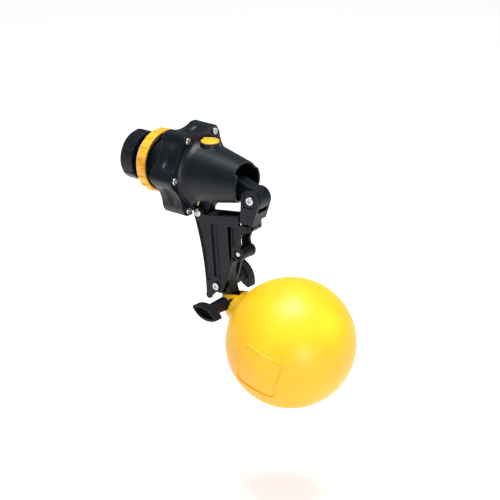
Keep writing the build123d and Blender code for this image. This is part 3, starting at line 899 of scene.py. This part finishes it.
@dataclass
class ThumbKnob:
    """A lens-shaped thumb knob with a knurled rim, a hollow face and a tapered hub."""

    shop: Workshop
    node: str
    face_side: float
    tilt: float
    long_half: float = 18.7 * MM
    wide_half: float = 8.2 * MM
    thickness: float = 11.0 * MM
    rim: float = 1.9 * MM
    hollow: float = 6.0 * MM
    knurl: float = 0.55 * MM
    sides: int = 120
    blunt: float = 2.2 * MM
    lip: float = 0.5 * MM
    hub_r: float = 8.2 * MM
    hub_taper: float = 0.86
    bore_r: float = 2.95 * MM
    bore_length: float = 27.2 * MM

    def build(self) -> bpy.types.Object:
        """Shape and dress the knob.

        Returns:
            The knob.
        """
        low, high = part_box(self.node)
        centre = (low + high) / 2
        face_y = high.y if self.face_side > 0 else low.y
        hub_y = low.y if self.face_side > 0 else high.y
        back_y = face_y - self.face_side * self.thickness
        head = self._head(Vector((centre.x, (face_y + back_y) / 2, centre.z)))
        self._hollow(head)
        hub = self._hub(Vector((centre.x, 0.0, centre.z)), hub_y, back_y + self.face_side * 0.8 * MM)
        cut_away(head, hub, "UNION")
        bore_middle = Vector((centre.x, hub_y, centre.z))
        bore = add_cylinder("bore", bore_middle, Vector((0, 1, 0)), self.bore_r, self.bore_length, 32)
        cut_away(head, bore)
        head.name = f"{self.node}_shape"
        smooth(head, 28.0)
        return self.shop.stand_in(head, self.node, Finish.KNOB_NYLON)

    def _head(self, centre: Vector) -> bpy.types.Object:
        """The lens-shaped head, its rim knurled.

        Args:
            centre: The middle of the head.

        Returns:
            The head.
        """
        radius = (self.long_half**2 + self.wide_half**2) / (2 * self.wide_half)
        tilt = Matrix.Rotation(-math.radians(self.tilt), 3, "Y")
        offset = tilt @ Vector((0, 0, radius - self.wide_half))
        axis = Vector((0, 1, 0))
        head = add_cylinder("head", centre + offset, axis, radius, self.thickness, self.sides)
        other = add_cylinder("other", centre - offset, axis, radius, self.thickness * 1.2, self.sides)
        cut_away(head, other, "INTERSECT")
        ends = add_block("ends", centre, Vector((2 * self.long_half - self.blunt, 0.1, 0.1)), tilt)
        cut_away(head, ends, "INTERSECT")
        self._knurl(head, centre, tilt)
        return head

    def _knurl(self, head: bpy.types.Object, centre: Vector, tilt: Matrix) -> None:
        """Push every other rim edge inwards to make the knurls.

        Args:
            head: The head.
            centre: Its middle.
            tilt: How its long side is turned.
        """
        with editing(head):
            bpy.ops.mesh.select_all(action="SELECT")
            bpy.ops.mesh.remove_doubles(threshold=0.01 * MM)
        flat = {v.index: tilt.transposed() @ (v.co - centre) for v in head.data.vertices}
        for side in (-1, 1):
            along = {i: round(p.x / (0.05 * MM)) for i, p in flat.items() if p.z * side > 0}
            dips = set(sorted(set(along.values()))[1::2])
            with editing(head, "VERT"):
                choose(head, "VERT", lambda v: along.get(v.index) in dips)
                bpy.ops.transform.translate(value=tilt @ Vector((0, 0, -side * self.knurl)))

    def _hollow(self, head: bpy.types.Object) -> None:
        """Sink the outer face inside its rim, with a softer step round the edge.

        Args:
            head: The head.
        """
        with editing(head):
            choose(head, "FACE", lambda f: f.normal.y * self.face_side > 0.9)
            bpy.ops.mesh.inset(thickness=self.lip, depth=0.9 * self.lip)
            bpy.ops.mesh.inset(thickness=self.rim)
            bpy.ops.mesh.inset(thickness=0.3 * MM, depth=-self.lip)
            bpy.ops.mesh.extrude_region_move(
                TRANSFORM_OT_translate={"value": (0, -self.face_side * (self.hollow - self.lip), 0)}
            )
            bpy.ops.mesh.inset(thickness=0.6 * MM, depth=-0.3 * MM)

    def _hub(self, centre: Vector, start_y: float, end_y: float) -> bpy.types.Object:
        """The hub, a little narrower where it meets the head.

        Args:
            centre: A point on its axis.
            start_y: Where it starts, at the bolt.
            end_y: Where it ends, inside the head.

        Returns:
            The hub.
        """
        length = abs(end_y - start_y)
        middle = Vector((centre.x, (start_y + end_y) / 2, centre.z))
        hub = add_cylinder("hub", middle, Vector((0, 1, 0)), self.hub_r, length, 64)
        with editing(hub):
            choose(hub, "FACE", lambda f: (f.center.y - middle.y) * self.face_side > length * 0.4)
            narrow = (self.hub_taper, 1.0, self.hub_taper)
            bpy.ops.transform.resize(value=narrow, center_override=middle)
        round_edges(hub, 0.8 * MM, 3, 50.0)
        return hub


@dataclass
class BallFloat:
    """Hollow ball with a flared neck, a fork for the arm and a plain raised panel outline."""

    shop: Workshop
    radius: float = 75 * MM
    fork_in: float = 7.6 * MM
    fork_out: float = 12.2 * MM
    neck_end: float = 101.6 * MM
    flare_from: float = 24.0
    flare_pull: float = 13 * MM
    flare_steps: int = 14
    shoulder: tuple[float, float] = (86 * MM, 16.6 * MM)
    shoulder_way: tuple[float, float] = (0.885, 0.466)
    neck: tuple[tuple[float, float], ...] = ((91.5 * MM, 13.7 * MM), (96.5 * MM, 11.1 * MM))
    tip_flat: float = 5 * MM
    slot_from: float = 79.5 * MM
    slot_to: float = 110 * MM
    cheek_at: float = 92.4 * MM
    cheek_block: Vector = field(default_factory=lambda: Vector((21, 30, 60)) * MM)
    eye_r: float = 2.95 * MM
    panel_faces: Vector = field(default_factory=lambda: Vector((0.09, -0.985, -0.135)))
    panel_half: Vector = field(default_factory=lambda: Vector((27.5, 27.0)) * MM)
    panel_corner: float = 8.5 * MM
    panel_line: float = 2.1 * MM
    panel_rise: float = 2.6 * MM

    def __post_init__(self) -> None:
        """Find the ball's centre and the neck's direction from the frame."""
        low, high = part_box("float_ball")
        self.centre = Vector((high.x - self.radius, (low.y + high.y) / 2, low.z + self.radius))
        eye = self.shop.middle("float_bolt")
        axis = Vector((eye.x, 0, eye.z)) - self.centre
        self.eye_reach = axis.length
        self.axis = axis.normalized()

    def build(self) -> None:
        """Shape and dress the float."""
        ball = self._ball()
        self._fork(ball)
        round_edges(ball, 0.7 * MM, 3, 40.0)
        smooth(ball, 32.0)
        ball.name = "float_ball_shape"
        self.shop.stand_in(ball, "float_ball", Finish.FLOAT)
        self._panel(ball)

    def _profile(self) -> list[tuple[float, float]]:
        """The neck's outline, flared into the ball.

        Returns:
            Its points, as (distance from the ball's centre, radius).
        """
        start = math.radians(self.flare_from)
        a0, r0 = self.radius * math.cos(start), self.radius * math.sin(start)
        a1, r1 = self.shoulder
        way_a, way_r = self.shoulder_way
        pull = self.flare_pull
        points = []
        for i in range(1, self.flare_steps + 1):
            t = i / self.flare_steps
            b0, b1, b2, b3 = (1 - t) ** 3, 3 * t * (1 - t) ** 2, 3 * t * t * (1 - t), t**3
            a = b0 * a0 + b1 * (a0 + pull * math.sin(start)) + b2 * (a1 - pull * way_a) + b3 * a1
            r = b0 * r0 + b1 * (r0 - pull * math.cos(start)) + b2 * (r1 + pull * way_r) + b3 * r1
            points.append((a, r))
        points += self.neck
        tip_a, tip_r = self.neck[-1]
        for i in range(1, 6):
            turn = math.radians(15 * i)
            reach = tip_a + (self.neck_end - tip_a) * math.sin(turn)
            points.append((reach, self.tip_flat + (tip_r - self.tip_flat) * math.cos(turn)))
        return points

    def _ball(self) -> bpy.types.Object:
        """A ball whose pole is drawn out into the neck.

        Returns:
            The ball.
        """
        bpy.ops.mesh.primitive_uv_sphere_add(
            segments=128, ring_count=90, radius=self.radius, location=self.centre, rotation=turn_to(self.axis)
        )
        ball = settle(bpy.context.object, "float_ball_shape")
        start = math.radians(self.flare_from)
        with editing(ball):
            cap = math.cos(start)
            choose(ball, "FACE", lambda f: (f.center - self.centre).normalized().dot(self.axis) > cap)
            bpy.ops.mesh.delete(type="FACE")
            bpy.ops.mesh.select_mode(type="EDGE")
            bpy.ops.mesh.select_all(action="DESELECT")
            bpy.ops.mesh.select_non_manifold(extend=False)
            a, r = self.radius * math.cos(start), self.radius * math.sin(start)
            for next_a, next_r in self._profile():
                bpy.ops.mesh.extrude_region_move(
                    TRANSFORM_OT_translate={"value": self.axis * (next_a - a)}
                )
                ring_middle = self.centre + self.axis * next_a
                bpy.ops.transform.resize(value=(next_r / r,) * 3, center_override=ring_middle)
                a, r = next_a, next_r
            bpy.ops.mesh.edge_face_add()
        return ball

    def _fork(self, ball: bpy.types.Object) -> None:
        """Cut the arm's slot, flatten the fork's cheeks and bore them for the bolt.

        Args:
            ball: The ball with its neck.
        """
        across = Vector((0, 1, 0))
        turn = Matrix((self.axis, across, self.axis.cross(across))).transposed()
        slot_middle = self.centre + self.axis * (self.slot_to + self.slot_from) / 2
        size = Vector((self.slot_to - self.slot_from, 2 * self.fork_in, 90 * MM))
        cut_away(ball, add_block("slot", slot_middle, size, turn))
        for side in (-1, 1):
            stand_off = self.fork_out + self.cheek_block.y / 2
            middle = self.centre + self.axis * self.cheek_at + across * side * stand_off
            cut_away(ball, add_block("cheek", middle, self.cheek_block, turn))
        eye = self.centre + self.axis * self.eye_reach
        cut_away(ball, add_cylinder("eye", eye, across, self.eye_r, 60 * MM, 32))

    def _panel(self, ball: bpy.types.Object) -> None:
        """The raised outline of a blank panel, lying on the ball's near side.

        Args:
            ball: The finished ball.
        """
        facing = self.panel_faces.normalized()
        along = (-self.axis - facing * (-self.axis).dot(facing)).normalized()
        up = facing.cross(along)
        turn = Matrix((along, up, facing)).transposed()
        bpy.ops.mesh.primitive_plane_add(
            size=2.0, location=self.centre + facing * (self.radius + 1 * MM), rotation=turn.to_euler()
        )
        bpy.context.object.scale = (self.panel_half.x, self.panel_half.y, 1.0)
        rim = settle(bpy.context.object, "float_panel_rim")
        with editing(rim, "VERT"):
            bpy.ops.mesh.select_all(action="SELECT")
            bpy.ops.mesh.bevel(offset=self.panel_corner, segments=8, affect="VERTICES")
            bpy.ops.mesh.select_all(action="SELECT")
            bpy.ops.mesh.delete(type="ONLY_FACE")
            bpy.ops.mesh.select_all(action="SELECT")
            bpy.ops.mesh.edge_face_add()
        with editing(rim, "EDGE"):
            choose(rim, "EDGE", lambda run: run.length > 10 * MM)
            bpy.ops.mesh.subdivide(number_cuts=14)
        with editing(rim):
            bpy.ops.mesh.select_all(action="SELECT")
            bpy.ops.mesh.inset(thickness=self.panel_line)
            bpy.ops.mesh.delete(type="FACE")
        apply_modifier(
            rim, "SHRINKWRAP", target=ball, wrap_method="PROJECT", use_negative_direction=True,
            use_positive_direction=True,
        )
        apply_modifier(rim, "SOLIDIFY", thickness=self.panel_rise, offset=0.0)
        round_edges(rim, 0.8 * MM, 3, 50.0)
        smooth(rim, 60.0)
        self.shop.join(rim, "float", "float_yellow", Finish.FLOAT)


# ------------------------------------------------------------------ studio
@dataclass
class Studio:
    """Pale floor, soft lights and the camera."""

    look_at: Vector = field(default_factory=lambda: Vector((142.4, 0.0, -80.3)) * MM)
    azimuth: float = 38.2
    elevation: float = 21.8
    distance: float = 2.4
    frame_width: float = 0.568
    sensor: float = 36.0
    room: float = 0.28
    floor_glow: float = 0.56
    floor_drop: float = 0.12

    def build(self) -> None:
        """Set up the floor, the lights and the camera."""
        self._floor()
        self._lights()
        self._camera()

    def _floor(self) -> None:
        """A wide pale floor just below the object."""
        low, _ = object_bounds()
        bpy.ops.mesh.primitive_plane_add(size=12.0, location=(0, 0, low[2] - self.floor_drop))
        floor = settle(bpy.context.object, "studio_floor")
        paint = Paint("studio_floor")
        cloud = paint.noise(0.4, 2.0)
        floor.data.materials.append(
            paint.set(
                Base_Color=paint.blend(cloud, (0.9, 0.9, 0.9), (0.93, 0.93, 0.93)), Roughness=0.9,
                Emission_Color=(1.0, 1.0, 1.0), Emission_Strength=self.floor_glow,
            )
        )
        floor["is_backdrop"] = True

    def _light(self, name: str, place: Vector, size: float, watts: float, colour: Colour = (1, 1, 1)) -> None:
        """Add one soft light aimed at the object.

        Args:
            name: The light's name.
            place: Where it stands from the point looked at.
            size: The side of its square.
            watts: Its power.
            colour: Its colour.
        """
        bpy.ops.object.light_add(type="AREA", location=self.look_at + place)
        lamp = bpy.context.object
        lamp.name = name
        lamp.rotation_euler = turn_to(place)
        lamp.data.shape = "SQUARE"
        lamp.data.size = size
        lamp.data.energy = watts
        lamp.data.color = colour

    def _lights(self) -> None:
        """A large top light, a small front light and a pale room all round."""
        self._light("top_light", Vector((0.15, -0.05, 1.5)), 0.8, 34.0)
        self._light("front_light", Vector((1.4, -0.8, 0.0)), 0.4, 9.0)
        world = bpy.data.worlds.new("studio_room")
        bpy.context.scene.world = world
        world.use_nodes = True
        background = world.node_tree.nodes["Background"]
        background.inputs["Color"].default_value = (1.0, 1.0, 1.0, 1.0)
        background.inputs["Strength"].default_value = self.room

    def _camera(self) -> None:
        """A long lens, looking down on the object from its outlet side."""
        turn, rise = math.radians(self.azimuth), math.radians(self.elevation)
        away = Vector((math.sin(turn) * math.cos(rise), -math.cos(turn) * math.cos(rise), math.sin(rise)))
        bpy.ops.object.camera_add(location=self.look_at + away * self.distance, rotation=turn_to(away))
        camera = bpy.context.object
        camera.name = "studio_camera"
        camera.data.sensor_width = self.sensor
        camera.data.lens = self.sensor * self.distance / self.frame_width
        camera.data.clip_end = 50.0
        bpy.context.scene.camera = camera
        bpy.context.scene.view_settings.view_transform = "Standard"


def main() -> None:
    """Build every sub-assembly in order around the frame."""
    logging.basicConfig(level=logging.INFO, format="%(message)s")
    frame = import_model()
    shop = Workshop(frame)
    InletSide(shop).build()
    ValveBody(shop).build()
    Linkage(shop).build()
    ThumbKnob(shop, "clamp_knob", 1.0, -57.0).build()
    ThumbKnob(shop, "float_knob", -1.0, -15.0).build()
    BallFloat(shop).build()
    Studio().build()


if __name__ == "__main__":
    main()
